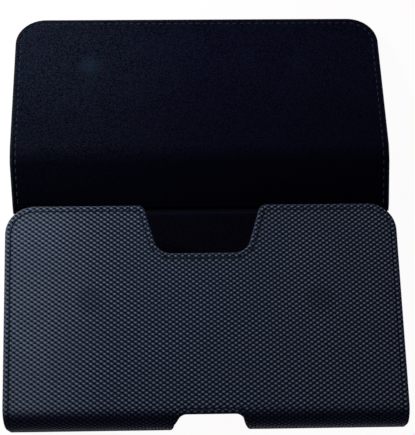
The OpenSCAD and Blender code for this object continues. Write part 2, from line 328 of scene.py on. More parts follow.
def fold_leaves(points, reach):
    """Lays a blank of strip and flap on the frame: it is turned over, led up the strip and down the flap."""
    points = pinch(pinch(points, 0), -strip_len)
    placed = points * [1, -1, -1]
    share = ease(placed[:, 1], strip_len - reach, strip_len + reach)
    placed = swing(placed, (strip_len, 0), -share * (strip_rise + flap_drop))
    return give(swing(placed + [0, *back_axis[1:]], back_axis[1:], np.full(len(placed), strip_rise)))


# %% Settling a blank in its place
def settle(obj, fold, shift=0.0):
    """Keeps where each point lay on the flat leather and whether it is at the bottom of a pressed seam, folds
    the piece and brings it to metres."""
    mesh = obj.data
    flat = np.empty(len(mesh.vertices) * 3)
    mesh.vertices.foreach_get("co", flat)
    flat = flat.reshape(-1, 3)
    kept = mesh.attributes.new("flat", "FLOAT_VECTOR", "POINT")
    kept.data.foreach_set("vector", (flat + [0, shift, 0]).astype(np.float32).ravel())
    pressed = mesh.attributes.new("seam", "FLOAT", "POINT")
    pressed.data.foreach_set("value", (np.abs(flat[:, 2] + GROOVE_D) < NEAR).astype(np.float32))
    mesh.vertices.foreach_set("co", (fold(flat) * MM).astype(np.float32).ravel())
    mesh.update()


def smooth(obj, degrees=40):
    """Shades the piece smooth, with the broad faces keeping their own direction."""
    only(obj)
    bpy.ops.object.shade_smooth_by_angle(angle=math.radians(degrees))
    even = obj.modifiers.new("even", "WEIGHTED_NORMAL")
    even.keep_sharp = True
    bpy.ops.object.modifier_apply(modifier=even.name)


def bends(first, last, step=1.0):
    count = max(1, round(abs(last - first) / step))
    return [first + (last - first) * i / count for i in range(count + 1)]


# %% [markdown]
# ## The two blanks
# The pouch's blank has the front panel, the bottom and the back panel in one. Its front corners are
# rounded, and the thumb cut-out and the bottom notch are cut through it. The second blank is the strip and
# the flap. Both run on a little past the back crease, where they are trimmed later.

# %% Pouch blank
pouch_blank = block(
    "pouch_blank", (-pouch_half, back_crease - EXTRA, -PANEL), (pouch_half, front_top, 0)
)
fold_middle = -quarter - fold_flat / 2
slice_across(pouch_blank, [fold_middle])
round_corners(pouch_blank, [(-pouch_half, front_top), (pouch_half, front_top)], FRONT_CORNER_R, steps=12)

cut_floor = front_top - CUT_DEPTH
spread = (CUT_TOP - CUT_FLOOR) / 2 / CUT_DEPTH
cut_angle = 90 + math.degrees(math.atan(spread))
above = 4.0
cutter = block("cutter", (-CUT_FLOOR / 2, cut_floor, -2 * PANEL), (CUT_FLOOR / 2, front_top + above, PANEL))
widen(cutter, front_top + above, (CUT_TOP + 2 * spread * above) / CUT_FLOOR)
round_corners(cutter, [(-CUT_FLOOR / 2, cut_floor), (CUT_FLOOR / 2, cut_floor)], CUT_FLOOR_R, cut_angle)
cut(pouch_blank, cutter)
lips = [(-CUT_TOP / 2, front_top), (CUT_TOP / 2, front_top)]
round_corners(pouch_blank, lips, CUT_LIP_R, cut_angle, steps=6)
print("pouch blank with its cut-out:", len(pouch_blank.data.polygons), "faces")

# %% The notch, cut through the bottom of the blank
notch_front = -FOLD_R * math.asin(1 - NOTCH_FRONT_D / FOLD_R)
notch_back = back_start - (NOTCH_BACK_D - FOLD_R)


def notch_corner(end_w, run):
    """The angle inside the cutter's corner, where its end meets its slanted side."""
    return 90 + math.degrees(math.atan((NOTCH_W - end_w) / 2 / run))


left, right = NOTCH_SHIFT - NOTCH_W / 2, NOTCH_SHIFT + NOTCH_W / 2
cutter = block("cutter", (left, notch_back, -2 * PANEL), (right, notch_front, PANEL))
slice_across(cutter, [-quarter, -quarter - fold_flat])
for end, end_w, run, corner_r in (
    (notch_front, NOTCH_FRONT_W + NOTCH_GIVE, -quarter - notch_front, NOTCH_SOFT_R),
    (notch_back, NOTCH_BACK_W, notch_back + quarter + fold_flat, NOTCH_R),
):
    widen(cutter, end, end_w / NOTCH_W)
    corners = [(NOTCH_SHIFT - end_w / 2, end), (NOTCH_SHIFT + end_w / 2, end)]
    round_corners(cutter, corners, corner_r, notch_corner(end_w, abs(run)), steps=6)
cut(pouch_blank, cutter)
print(f"notch from {notch_front:.2f} to {notch_back:.2f} along the blank")

# %% Blank of the strip and the flap
flap_end = -(strip_len + FLAP_LEN)
leaf_blank = block("leaf_blank", (-flap_half, flap_end, -PANEL), (flap_half, EXTRA, 0))
round_corners(leaf_blank, [(-flap_half, flap_end), (flap_half, flap_end)], FLAP_CORNER_R, steps=12)


def cut_area(blank, half):
    """A blank's area in square metres, without the run past the back crease that is trimmed later."""
    top = sum(face.area for face in blank.data.polygons if face.normal.z > 0.9)
    return (top - 2 * half * EXTRA) * MM ** 2


pouch_area, leaf_area = cut_area(pouch_blank, pouch_half), cut_area(leaf_blank, flap_half)
print(f"leather in the pouch {pouch_area * 1e4:.1f} cm2, in the strip and the flap {leaf_area * 1e4:.1f} cm2")

# %% [markdown]
# ## Covers
# The cover wraps the edge of each panel and comes back 0.8 mm on the inside. A blank gets rounded rims, a
# hem, and a shallow groove where the thread pulls it down. Its inner side is then hollowed, because the
# board and the lining lie in there. Insets of a whole region keep every ring parallel to the outline.

# %% A cover from a blank
RIM_R, INNER_RIM_R = 0.9, 0.3
GROOVE_W, GROOVE_D = 0.5, 0.3


def faces_at(z, up):
    return lambda f: f.normal.z * up > 0.9 and all(abs(v.co.z - z) < NEAR for v in f.verts)


def rim_at(z):
    """Edges where a level face at this height meets an upright one."""
    def test(edge):
        level = all(abs(v.co.z - z) < NEAR for v in edge.verts)
        return level and len({abs(f.normal.z) > 0.5 for f in edge.link_faces}) == 2
    return test


def press_seam(obj, face, inset, deep=GROOVE_D):
    """Insets the level face to the seam, presses it down there and lets it rise again."""
    pick(obj, "FACE", face)
    bpy.ops.mesh.inset(thickness=inset - GROOVE_W)
    bpy.ops.mesh.inset(thickness=GROOVE_W, depth=-deep)
    bpy.ops.mesh.inset(thickness=GROOVE_W, depth=deep)
    done()


def make_cover(blank, name, seam_in):
    cover = copy_of(blank, name)
    bevel(cover, rim_at(0), RIM_R, 4)
    bevel(cover, rim_at(-PANEL), INNER_RIM_R, 2)
    press_seam(cover, faces_at(0, 1), seam_in - RIM_R)
    pick(cover, "FACE", faces_at(-PANEL, -1))
    bpy.ops.mesh.inset(thickness=EDGE - INNER_RIM_R)
    bpy.ops.mesh.extrude_region_move(TRANSFORM_OT_translate={"value": (0, 0, PANEL - COVER)})
    done()
    return cover


FRONT_SEAM, FLAP_SEAM = 2.4, 2.4
pouch_cover = make_cover(pouch_blank, "cover_of_pouch", FRONT_SEAM)
leaf_cover = make_cover(leaf_blank, "cover_of_strip_and_flap", FLAP_SEAM)
trim(pouch_cover, back_crease, -1)
trim(leaf_cover, 0, 1)
crease_slices = [0.0, 0.8, 1.7, 2.5, CREASE_REACH]
fold_slices = bends(0, -quarter) + bends(-quarter - fold_flat, back_start)
slice_across(pouch_cover, fold_slices + [back_crease + d for d in crease_slices[1:]])
slice_across(leaf_cover, [-d for d in crease_slices[1:]])
slice_across(leaf_cover, [-strip_len + d * side for d in crease_slices for side in (-1, 1)])
print("pouch cover:", len(pouch_cover.data.polygons), "faces")

# %% [markdown]
# ## Linings
# Each lining is the same outline again, cut a little smaller so that the turned edge shows round it. The
# region inside an inset is kept, the rest is deleted, and the sheet gets its thickness by an extrusion.

# %% A lining from a blank
LINING_IN = EDGE + 0.05
LINING_RIM_R = 0.2


def make_lining(blank, name, seam_in, ends):
    lining = copy_of(blank, name)
    pick(lining, "FACE", faces_at(-PANEL, -1))
    bpy.ops.mesh.inset(thickness=LINING_IN)
    bpy.ops.mesh.select_all(action="INVERT")
    bpy.ops.mesh.delete(type="FACE")
    bpy.ops.mesh.select_all(action="SELECT")
    bpy.ops.mesh.extrude_region_move(TRANSFORM_OT_translate={"value": (0, 0, LINING)})
    bpy.ops.mesh.select_all(action="SELECT")
    bpy.ops.mesh.normals_make_consistent(inside=False)
    done()
    trim(lining, *ends)
    bevel(lining, rim_at(-PANEL), LINING_RIM_R, 2)
    press_seam(lining, faces_at(-PANEL, -1), seam_in - LINING_IN - LINING_RIM_R)
    return lining


# How far the pouch's lining runs on under the strip's, and how far past the crease the strip's begins
UNDER, FOOT = 3.2, 2.3
RIDGE_STEP = 0.3
pouch_lining = make_lining(pouch_blank, "lining_of_pouch", FRONT_SEAM, (back_crease - UNDER, -1))
leaf_lining = make_lining(leaf_blank, "lining_of_strip_and_flap", FLAP_SEAM, (-FOOT, 1))
slice_across(pouch_lining, fold_slices + [back_crease + RIDGE_STEP * i for i in range(-7, 8)])
slice_across(leaf_lining, [-2.5, -CREASE_REACH])
slice_across(leaf_lining, [-strip_len + d * side for d in crease_slices for side in (-1, 1)])
print("pouch lining:", len(pouch_lining.data.polygons), "faces")

# %% [markdown]
# ## Stitches
# A sewing machine leaves a row of short stitches, and each one dives into the leather at both ends. One
# stitch is shaped from a sphere: stretched, flattened, and pulled down at its ends. It is then repeated
# along the seam, which is the blank's own outline moved inwards, and each row gets a mesh of its own.

# %% One stitch
STITCH_L, STITCH_W, STITCH_H = 2.75, 0.56, 0.5
# What lies past this share of the stitch, counted from its middle, is pulled down by this much
STITCH_PULLS = [(0.3, 0.14), (0.45, 0.3)]
bpy.ops.object.select_all(action="DESELECT")
bpy.ops.mesh.primitive_uv_sphere_add(segments=8, ring_count=8, radius=0.5, rotation=(0, math.pi / 2, 0))
stitch = bpy.context.object
stitch.name = "one_stitch"
stitch.scale = (STITCH_H, STITCH_W, STITCH_L)
bpy.ops.object.transform_apply()
for share, pull in STITCH_PULLS:
    pick(stitch, "VERT", lambda v: abs(v.co.x) > share * STITCH_L)
    bpy.ops.transform.translate(value=(0, 0, -pull))
    done()
stitch_points = np.array([v.co for v in stitch.data.vertices])
stitch_faces = [tuple(f.vertices) for f in stitch.data.polygons]
bpy.data.objects.remove(stitch)
print("one stitch:", len(stitch_points), "points, length", round(float(np.ptp(stitch_points[:, 0])), 2))


# %% Where a seam runs
# A stitch points along the seam, from this far behind its middle to this far ahead
AIM = 0.9


def seam_lines(blank, inside):
    """The loops of points along a blank's outline, moved inwards."""
    guide = copy_of(blank, "guide")
    pick(guide, "FACE", faces_at(0, 1))
    bpy.ops.mesh.inset(thickness=inside)
    mesh = bmesh.from_edit_mesh(guide.data)
    inner = {f for f in mesh.faces if f.select}
    beside = {}
    for edge in mesh.edges:
        if sum(f in inner for f in edge.link_faces) == 1:
            for a, b in (edge.verts, reversed(edge.verts)):
                beside.setdefault(a, []).append(b)
    lines = []
    while beside:
        here = next(iter(beside))
        line = []
        while here in beside:
            line.append((here.co.x, here.co.y))
            ways = beside.pop(here)
            here = next((w for w in ways if w in beside), ways[0])
        lines.append(np.array(line + line[:1]))
    done()
    bpy.data.objects.remove(guide)
    return lines


def sew(name, lines, pitch, height, under=False, after=-math.inf, before=math.inf):
    """Sets stitches along the lines, on the upper face or under the lower one, as one piece. Only those
    between two limits of y are kept."""
    points, faces = [], []
    for line in lines:
        steps = np.hypot(*np.diff(line, axis=0).T)
        run = np.concatenate([[0], np.cumsum(steps)])
        count = max(1, round(run[-1] / pitch))
        for place in (np.arange(count) + 0.5) * run[-1] / count:
            x, y = np.interp(place, run, line[:, 0]), np.interp(place, run, line[:, 1])
            if not after < y < before:
                continue
            behind, ahead = (
                [np.interp(place + d, run, line[:, axis]) for axis in (0, 1)] for d in (-AIM, AIM)
            )
            heading = math.atan2(ahead[1] - behind[1], ahead[0] - behind[0])
            side = -1 if under else 1
            turned = stitch_points * [1, side, side]
            c, n = math.cos(heading), math.sin(heading)
            placed = np.column_stack([
                x + turned[:, 0] * c - turned[:, 1] * n,
                y + turned[:, 0] * n + turned[:, 1] * c,
                height + turned[:, 2],
            ])
            faces += [tuple(i + len(points) * len(stitch_points) for i in face) for face in stitch_faces]
            points.append(placed)
    mesh = bpy.data.meshes.new(name)
    mesh.from_pydata(np.concatenate(points), [], faces)
    kept = mesh.attributes.new("thread", "FLOAT_VECTOR", "POINT")
    kept.data.foreach_set("vector", np.tile(stitch_points, (len(points), 1)).astype(np.float32).ravel())
    obj = bpy.data.objects.new(name, mesh)
    bpy.context.collection.objects.link(obj)
    print(name, len(points), "stitches")
    return obj


# %% Seams of the pouch, the strip and the flap
PITCH = 3.3
# How deep a thread lies in its groove, and how far it stays from a crease
SUNK, PULLED_IN = 0.12, 0.22
LAST_STITCH, FIRST_STITCH = 1.5, 1.2

front_lines = seam_lines(pouch_blank, FRONT_SEAM)
flap_lines = seam_lines(leaf_blank, FLAP_SEAM)
pouch_end = back_crease + LAST_STITCH
pouch_thread = sew("thread_of_pouch", front_lines, PITCH, -PULLED_IN, after=pouch_end)
pouch_thread_inside = sew(
    "thread_inside_pouch", front_lines, PITCH, -PANEL + PULLED_IN, under=True, after=pouch_end
)
flap_thread = sew("thread_of_flap", flap_lines, PITCH, -PULLED_IN, before=-FIRST_STITCH)
flap_thread_inside = sew(
    "thread_inside_flap", flap_lines, PITCH, -PANEL + SUNK, under=True, before=-FOOT - FIRST_STITCH
)
for blank in (pouch_blank, leaf_blank):
    bpy.data.objects.remove(blank)

# %% Folding the pouch, the strip and the flap
# How far each bend reaches before the back crease and past it, where the pouch's cover ends, and how far
# to both sides of the flap's crease
BEFORE, AFTER = 2.5, 0.001
LINING_BEFORE, LINING_AFTER = 1.6, 2.2
SKIN_BEND, LINING_BEND = 1.6, 4.5
for piece in (pouch_cover, pouch_thread, pouch_thread_inside):
    settle(piece, lambda flat: fold_pouch(flat, BEFORE, AFTER))
settle(pouch_lining, lambda flat: fold_pouch(flat, LINING_BEFORE, LINING_AFTER, is_lining=True))
leaf_bends = [
    (leaf_cover, SKIN_BEND), (flap_thread, SKIN_BEND),
    (leaf_lining, LINING_BEND), (flap_thread_inside, LINING_BEND),
]
for piece, reach in leaf_bends:
    settle(piece, lambda flat: fold_leaves(flat, reach), shift=back_crease)
for piece in (pouch_cover, leaf_cover, pouch_lining, leaf_lining):
    smooth(piece)
for piece in (pouch_thread, pouch_thread_inside, flap_thread, flap_thread_inside):
    only(piece)
    bpy.ops.object.shade_smooth()

# %% [markdown]
# ## Pieces that follow a bent path
# The gussets and the belt loops are plain strips that are bent to a profile. A path is given by its corners
# and the radius at each, as a bent-metal drawing gives it, and a strip is laid along it point by point.

# %% A path with rounded corners
def bent_path(corners):
    """Points along a path through (a, b, radius) corners, with each bend drawn as an arc."""
    line = [np.array(corners[0][:2], float)]
    for before, corner, after in zip(corners, corners[1:], corners[2:]):
        here = np.array(corner[:2], float)
        back, on = (np.array(c[:2], float) - here for c in (before, after))
        back, on = back / np.linalg.norm(back), on / np.linalg.norm(on)
        half = math.acos(np.clip(back @ on, -1, 1)) / 2
        reach = corner[2] / math.tan(half)
        middle = here + (back + on) / np.linalg.norm(back + on) * corner[2] / math.sin(half)
        first, last = here + back * reach - middle, here + on * reach - middle
        for t in np.linspace(0, 1, 9):
            ray = first * (1 - t) + last * t
            line.append(middle + ray / np.linalg.norm(ray) * corner[2])
    return np.array(line + [np.array(corners[-1][:2], float)])


def along(line):
    return np.concatenate([[0], np.cumsum(np.linalg.norm(np.diff(line, axis=0), axis=1))])


def follow(distance, off, line):
    """Where a point lies that is this far along the line and this far to its left."""
    run = along(line)
    way = np.diff(line, axis=0) / np.diff(run)[:, None]
    middle = (run[1:] + run[:-1]) / 2
    ahead = np.column_stack([np.interp(distance, middle, way[:, i]) for i in (0, 1)])
    ahead /= np.linalg.norm(ahead, axis=1)[:, None]
    spot = np.column_stack([np.interp(distance, run, line[:, i]) for i in (0, 1)])
    return spot + off[:, None] * np.column_stack([-ahead[:, 1], ahead[:, 0]])


# %% [markdown]
# ## Gussets
# A gusset is a soft strip of thin leather that closes each side. It is sewn to both panels and folds into
# the pouch like a bellows. It starts as a flat strip with a little waviness, so that the long fold doesn't
# look machined, and its lower end follows the round of the pouch's bottom.

# %% Gussets
GUSSET_T, FLANGE, TUCK = 0.8, 5.0, 4.0
GUSSET_IN, GLUE_GAP = 0.5, 0.05
GUSSET_TURN_R, GUSSET_TUCK_R, GUSSET_RIM_R = 0.8, 1.0, 0.15
GUSSET_SLICES, GUSSET_STEP = 56, 0.45
RIPPLE, RIPPLE_LONG, RIPPLE_SHIFT = 0.22, 5.1, 0.8
RIPPLE_LOW, RIPPLE_HIGH = 4, 17.5
inside_half = pouch_half - GUSSET_IN
lower = PANEL + GLUE_GAP + GUSSET_T / 2
upper = case_t - lower
profile = bent_path([
    (inside_half - FLANGE, upper), (inside_half, upper, GUSSET_TURN_R),
    (inside_half - TUCK, case_t / 2, GUSSET_TUCK_R),
    (inside_half, lower, GUSSET_TURN_R), (inside_half - FLANGE, lower),
])
front_end, back_end = FRONT_H - FRONT_CORNER_R, box_of("gusset_right")[1][1] - fold_y
gusset_w = along(profile)[-1]
print(f"gusset cut {gusset_w:.1f} mm wide, {front_end:.1f} mm long at the front, {back_end:.1f} at the back")


def lay_gusset(hand):
    def fold(flat):
        place = follow(flat[:, 0], flat[:, 2], profile)
        height = place[:, 1]
        depth = np.abs(height - np.clip(height, FOLD_R, case_t - FOLD_R))
        inner_r = FOLD_R - PANEL - GLUE_GAP
        start = FOLD_R - np.sqrt(np.clip(inner_r ** 2 - depth ** 2, 0, None))
        level = np.clip((height - PANEL) / (case_t - 2 * PANEL), 0, 1)
        end = back_end + (front_end - back_end) * level
        t = flat[:, 1]
        y = start * (1 - t) + end * t
        tucked = np.clip((inside_half - place[:, 0]) / TUCK, 0, 1)
        free = (height > RIPPLE_LOW) * (height < RIPPLE_HIGH)
        ripple = RIPPLE * np.sin(y / RIPPLE_LONG + RIPPLE_SHIFT * hand) * tucked * free
        return give(np.column_stack([hand * (place[:, 0] - ripple), y + fold_y, height + back_z]))
    return fold


def gusset(name, hand):
    obj = block(name, (0, 0, -GUSSET_T / 2), (gusset_w, 1, GUSSET_T / 2))
    bevel(obj, lambda e: abs(e.verts[0].co.y - e.verts[1].co.y) < NEAR, GUSSET_RIM_R, 2)
    slice_across(obj, [i / GUSSET_SLICES for i in range(1, GUSSET_SLICES)])
    slice_across(obj, bends(0.5, gusset_w - 0.5, GUSSET_STEP), way=(1, 0, 0))
    settle(obj, lay_gusset(hand))
    if hand < 0:
        open_up(obj)
        bpy.ops.mesh.flip_normals()
        done()
    smooth(obj)
    return obj


gussets = [gusset("gusset_left_leather", -1), gusset("gusset_right_leather", 1)]

# %% [markdown]
# ## Belt loops
# Each loop is a strap of two leathers glued back to back. Its edges are rounded and dyed, a seam runs along
# both long edges, and each end is held by a sewn box with a cross in it. The strap and its seams are made
# flat and then laid along the same path, so the thread follows every bend.

# %% The strap's path
STRAP_T, STRAP_W, TAB = 1.8, 28.0, 9.0
FOOT_RUN, BEND_RUN, STRAP_BEND_R = 25.0, 3.0, 2.0
loop_low, loop_high = box_of("belt_loop_right")
belt_y = (loop_low[1] + loop_high[1]) / 2
sewn_z, free_z = back_z - STRAP_T / 2, STRAP_T / 2
bend_spots = [
    (belt_y - FOOT_RUN, sewn_z), (belt_y - FOOT_RUN + BEND_RUN, free_z),
    (belt_y + FOOT_RUN - BEND_RUN, free_z), (belt_y + FOOT_RUN, sewn_z),
]
strap_path = bent_path(
    [(loop_low[1], sewn_z)] + [(*spot, STRAP_BEND_R) for spot in bend_spots] + [(loop_high[1], sewn_z)]
)
strap_l = along(strap_path)[-1]
print(f"strap {strap_l:.1f} mm long for a loop {loop_high[1] - loop_low[1]:.1f} mm long")


def lay_strap(middle_x):
    def fold(flat):
        place = follow(flat[:, 1], flat[:, 2], strap_path)
        return np.column_stack([flat[:, 0] + middle_x, place])
    return fold


# %% Straps and their seams
STRAP_SEAM, STRAP_PITCH, STRAP_SUNK = 2.2, 3.0, 0.3
STRAP_CORNER_R, STRAP_RIM_R, STRAP_STEP = 3.0, 0.55, 0.9
BOX_IN, BOX_SHORT = 1.6, 1.0


def strap_seams():
    """Both long edges, and at each end a box with a cross."""
    side = STRAP_W / 2 - STRAP_SEAM
    box = side - BOX_IN
    lines = [np.array([(x, STRAP_SEAM), (x, strap_l - STRAP_SEAM)]) for x in (-side, side)]
    for near, far in (
        (STRAP_SEAM, TAB - BOX_SHORT), (strap_l - TAB + BOX_SHORT, strap_l - STRAP_SEAM),
    ):
        for a, b in ((near, near), (far, far), (near, far), (far, near)):
            lines.append(np.array([(-box, a), (box, b)]))
    return lines


def strap(name, middle_x):
    obj = block(name, (-STRAP_W / 2, 0, -STRAP_T / 2), (STRAP_W / 2, strap_l, STRAP_T / 2))
    corners = [(x, y) for x in (-STRAP_W / 2, STRAP_W / 2) for y in (0, strap_l)]
    round_corners(obj, corners, STRAP_CORNER_R, steps=6)
    bevel(obj, lambda e: rim_at(STRAP_T / 2)(e) or rim_at(-STRAP_T / 2)(e), STRAP_RIM_R, 3)
    press_seam(obj, faces_at(-STRAP_T / 2, -1), STRAP_SEAM - STRAP_RIM_R)
    slice_across(obj, bends(STRAP_CORNER_R, strap_l - STRAP_CORNER_R, STRAP_STEP))
    thread = sew(name + "_thread", strap_seams(), STRAP_PITCH, -STRAP_T / 2 + STRAP_SUNK, under=True)
    for piece in (obj, thread):
        settle(piece, lay_strap(middle_x))
        smooth(piece)
    return obj, thread


loop_x = (loop_low[0] + loop_high[0]) / 2
straps = [strap("loop_left_strap", -loop_x), strap("loop_right_strap", loop_x)]

# %% [markdown]
# ## Patch under the clip
# The clip's rivets pull on a patch of smooth leather that is sewn to the back. Like the panels it has a
# rounded rim and a pressed seam, on its outer face alone.

# %% Patch
PATCH_SEAM, PATCH_R, PATCH_RIM_R, PATCH_GROOVE_D = 2.2, 4.0, 0.4, 0.2
patch_low, patch_high = box_of("clip_patch")
patch = block("patch_of_clip", patch_low, patch_high)
corners = [(x, y) for x in (patch_low[0], patch_high[0]) for y in (patch_low[1], patch_high[1])]
round_corners(patch, corners, PATCH_R)
patch_blank = copy_of(patch, "patch_blank")
only(patch_blank)
bpy.ops.transform.translate(value=(0, 0, -patch_high[2]))
bpy.ops.object.transform_apply()
patch_lines = seam_lines(patch_blank, PATCH_SEAM)
bpy.data.objects.remove(patch_blank)
bevel(patch, rim_at(patch_low[2]), PATCH_RIM_R, 3)
press_seam(patch, faces_at(patch_low[2], -1), PATCH_SEAM - PATCH_RIM_R, PATCH_GROOVE_D)
patch_thread = sew("thread_of_patch", patch_lines, STRAP_PITCH, patch_low[2] + SUNK, under=True)
for piece in (patch, patch_thread):
    settle(piece, lambda flat: flat)
    smooth(piece)

# %% [markdown]
# ## Finishes
# Every finish is worked out from the leather itself. A cover reads where each of its points lay on the flat
# blank, so the embossing runs round the fold as it does on real leather cloth. Rigid pieces read their own
# place in the frame. A value that is the same all over is set on the shader's own socket.

# %% Nodes
class Finish:
    """A material, with short ways to add and join its nodes."""

    def __init__(self, name, **sockets):
        self.material = bpy.data.materials.new(name)
        self.material.use_nodes = True
        self.tree = self.material.node_tree
        self.shader = self.tree.nodes["Principled BSDF"]
        for socket, value in sockets.items():
            self.shader.inputs[socket.replace("_", " ")].default_value = value

    def node(self, kind, **values):
        made = self.tree.nodes.new("ShaderNode" + kind)
        for name, value in values.items():
            if hasattr(made, name):
                setattr(made, name, value)
            else:
                made.inputs[name].default_value = value
        return made

    def join(self, source, target):
        self.tree.links.new(source, target)

    def math(self, operation, *values):
        made = self.node("Math", operation=operation)
        for socket, value in zip(made.inputs, values):
            if isinstance(value, (int, float)):
                socket.default_value = value
            else:
                self.join(value, socket)
        return made.outputs[0]

    def plus(self, *values):
        return self.math("ADD", *values)

    def times(self, *values):
        return self.math("MULTIPLY", *values)

    def split(self, vector):
        """The X, Y and Z of a vector."""
        parts = self.node("SeparateXYZ")
        self.join(vector, parts.inputs[0])
        return parts.outputs

    def between(self, value, start, end, soft):
        """One from start to end, with a soft step up before the first and down after the last."""
        rise = self.level(value, start - soft, start)
        fall = self.level(value, end, end + soft, 1.0, 0.0)
        return self.times(rise, fall)

    def lasting(self, name):
        """A place kept on the mesh, such as where a point lay on the flat leather, in millimetres."""
        return self.node("Attribute", attribute_name=name).outputs["Vector"]

    def place(self):
        """The point's own place in the frame, in millimetres."""
        scaled = self.node("VectorMath", operation="SCALE")
        scaled.inputs["Scale"].default_value = 1 / MM
        self.join(self.node("TexCoord").outputs["Object"], scaled.inputs[0])
        return scaled.outputs[0]

    def noise(self, where, scale, detail=2.0, roughness=0.5):
        made = self.node("TexNoise", Scale=scale, Detail=detail, Roughness=roughness)
        self.join(where, made.inputs["Vector"])
        return made.outputs["Fac"]

    def level(self, value, low, high, to_low=0.0, to_high=1.0):
        made = self.node("MapRange", interpolation_type="SMOOTHSTEP")
        self.join(value, made.inputs["Value"])
        for name, number in (("From Min", low), ("From Max", high), ("To Min", to_low), ("To Max", to_high)):
            made.inputs[name].default_value = number
        return made.outputs["Result"]

    def blend(self, share, first, second):
        """A colour between two, each an (r, g, b) tuple or another socket."""
        made = self.node("Mix", data_type="RGBA")
        self.join(share, made.inputs["Factor"])
        for socket, colour in ((made.inputs[6], first), (made.inputs[7], second)):
            if isinstance(colour, tuple):
                socket.default_value = (*colour, 1)
            else:
                self.join(colour, socket)
        return made.outputs[2]

    def bump(self, height, deep, under=None):
        made = self.node("Bump", Strength=1.0, Distance=deep * MM)
        self.join(height, made.inputs["Height"])
        if under is not None:
            self.join(under, made.inputs["Normal"])
        return made.outputs["Normal"]

    def finish(self, colour, rough, normal):
        for socket, value in (("Base Color", colour), ("Roughness", rough), ("Normal", normal)):
            if value is not None:
                self.join(value, self.shader.inputs[socket])
        return self.material


def shade(red, green, blue):
    """A colour as a paint card gives it, from 0 to 255, in the light that the shader works with."""
    parts = [c / 255 for c in (red, green, blue)]
    return tuple(c / 12.92 if c <= 0.04045 else ((c + 0.055) / 1.055) ** 2.4 for c in parts)


# %% [markdown]
# ## Embossed leather cloth
# The cover's pattern is a brick-like field of small raised beads with pits between them. Two slanting waves
# that cross give exactly that: beads where both are high, shifted by half a step from row to row, and pits
# where both are low. The beads are linked along one slant at the left end, left round in the middle and
# leaned a little the other way at the right, so the stronger wave changes along the sheet. This change is
# painted
# shading: it stands in for the lamp at the left lighting the little hills of the weave from changing sides.
# The beads are polished by wear, so they are glossier, and the pits are dull. The beads are also lighter in
# colour, and part of that lightness is a painted highlight for the lamp's glint on them, which grows towards
# the right end. Round the bottom fold the cover is painted an even dark blue: painted shade where the fold
# turns away from the lamp, together with the stretched embossing. Over an edge the beads are pulled flat, and
# the rim is painted an even grey, partly the mean tone of the flattened pattern and partly a painted
# highlight where the rolled edge catches the lamp. The turned hem stays dark, and the pressed seam is painted
# darker, as painted shade in its groove. The slopes of the beads at the left end are painted lighter and
# greyer, as painted light from the lamp at that end. A magnet under the cover presses up a soft round that
# looks a little darker.

# %% Cover
BEAD_ACROSS, BEAD_ALONG = 2.75, 1.96
BEAD_SLANT = 0.3
# The painted shade of the bottom fold, an even dark blue, fades out over this length, in millimetres
FOLD_SOFT = 4


def round_spots(made, where, spots, inner, outer):
    """One within inner mm of any of the spots, and nothing past outer mm."""
    marks = []
    for spot in spots:
        away = made.node("VectorMath", operation="DISTANCE")
        made.join(where, away.inputs[0])
        away.inputs[1].default_value = (*spot, 0)
        marks.append(made.level(away.outputs["Value"], inner, outer, 1.0, 0.0))
    return made.plus(*marks)


